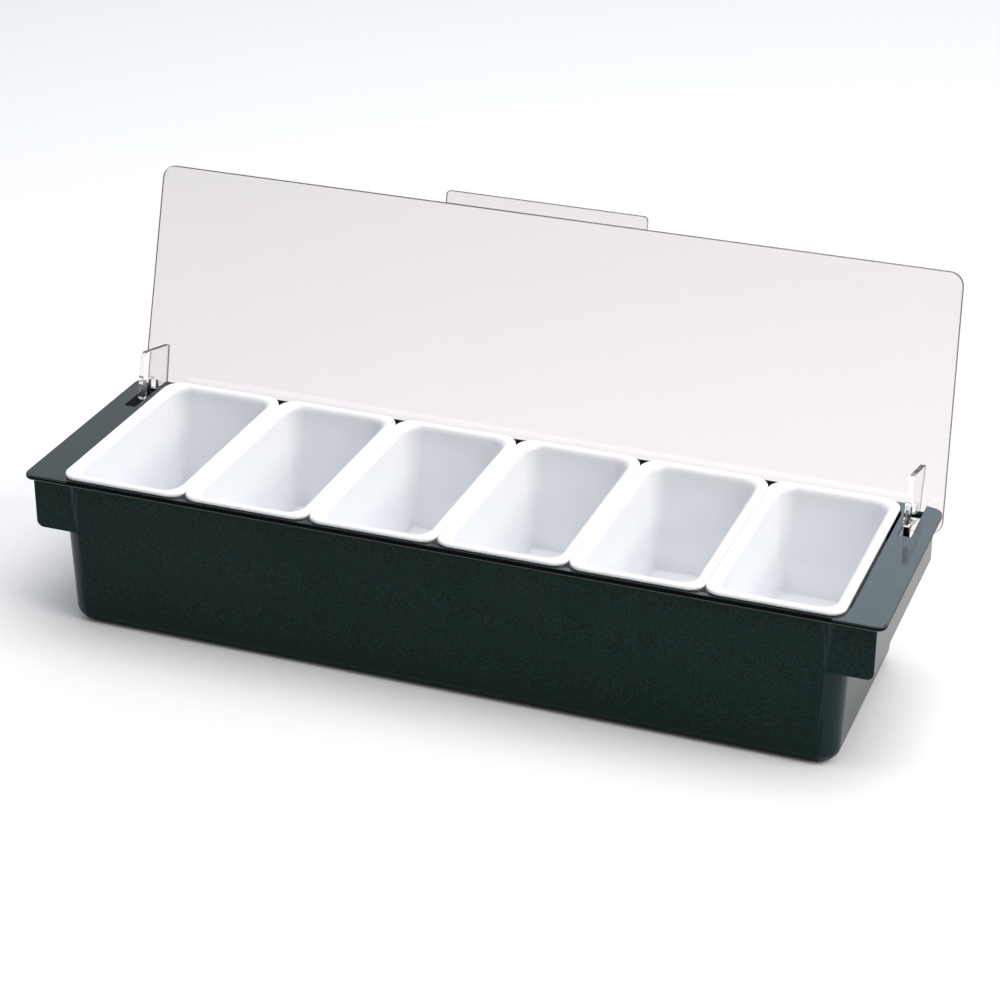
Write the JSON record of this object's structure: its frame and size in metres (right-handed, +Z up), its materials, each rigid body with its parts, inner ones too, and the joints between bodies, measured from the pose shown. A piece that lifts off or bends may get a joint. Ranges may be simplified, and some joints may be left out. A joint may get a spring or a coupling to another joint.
{
  "type": "condiment caddy",
  "caption": "Long bar-top condiment caddy: a deep tray with a grip ledge at each end, lift-out rectangular inserts over an ice space, and a clear hinged lid with a lifting tab.",
  "frame": {"origin": "middle of the tray's underside, on the surface it stands on", "axes": "+X along the tray to the right-hand ledge, +Y to the hinged back, +Z up"},
  "size_m": [0.5, 0.1824, 0.2277],
  "materials": {
    "tray_plastic": "fine moulded grain outside, smoother ledges",
    "insert_plastic": "smooth, soft sheen",
    "lid_plastic": "clear and polished"
  },
  "bodies": {
    "tray": {"tray": "tray_plastic"},
    "insert_1": {"insert_1": "insert_plastic"},
    "insert_2": {"insert_2": "insert_plastic"},
    "insert_3": {"insert_3": "insert_plastic"},
    "insert_4": {"insert_4": "insert_plastic"},
    "insert_5": {"insert_5": "insert_plastic"},
    "insert_6": {"insert_6": "insert_plastic"},
    "lid": {"lid": "lid_plastic"}
  },
  "joints": [
    {"name": "lid_hinge", "type": "hinge", "parent": "tray", "child": "lid", "pos_m": [0, 0.068, 0.0895], "axis": [-1, 0, 0], "range_deg": [-103.13, 0]},
    {"name": "insert_1_lift", "type": "slide", "parent": "tray", "child": "insert_1", "axis": [0, 0, 1], "range_m": [0, 0.1]},
    {"name": "insert_2_lift", "type": "slide", "parent": "tray", "child": "insert_2", "axis": [0, 0, 1], "range_m": [0, 0.1]},
    {"name": "insert_3_lift", "type": "slide", "parent": "tray", "child": "insert_3", "axis": [0, 0, 1], "range_m": [0, 0.1]},
    {"name": "insert_4_lift", "type": "slide", "parent": "tray", "child": "insert_4", "axis": [0, 0, 1], "range_m": [0, 0.1]},
    {"name": "insert_5_lift", "type": "slide", "parent": "tray", "child": "insert_5", "axis": [0, 0, 1], "range_m": [0, 0.1]},
    {"name": "insert_6_lift", "type": "slide", "parent": "tray", "child": "insert_6", "axis": [0, 0, 1], "range_m": [0, 0.1]}
  ]
}
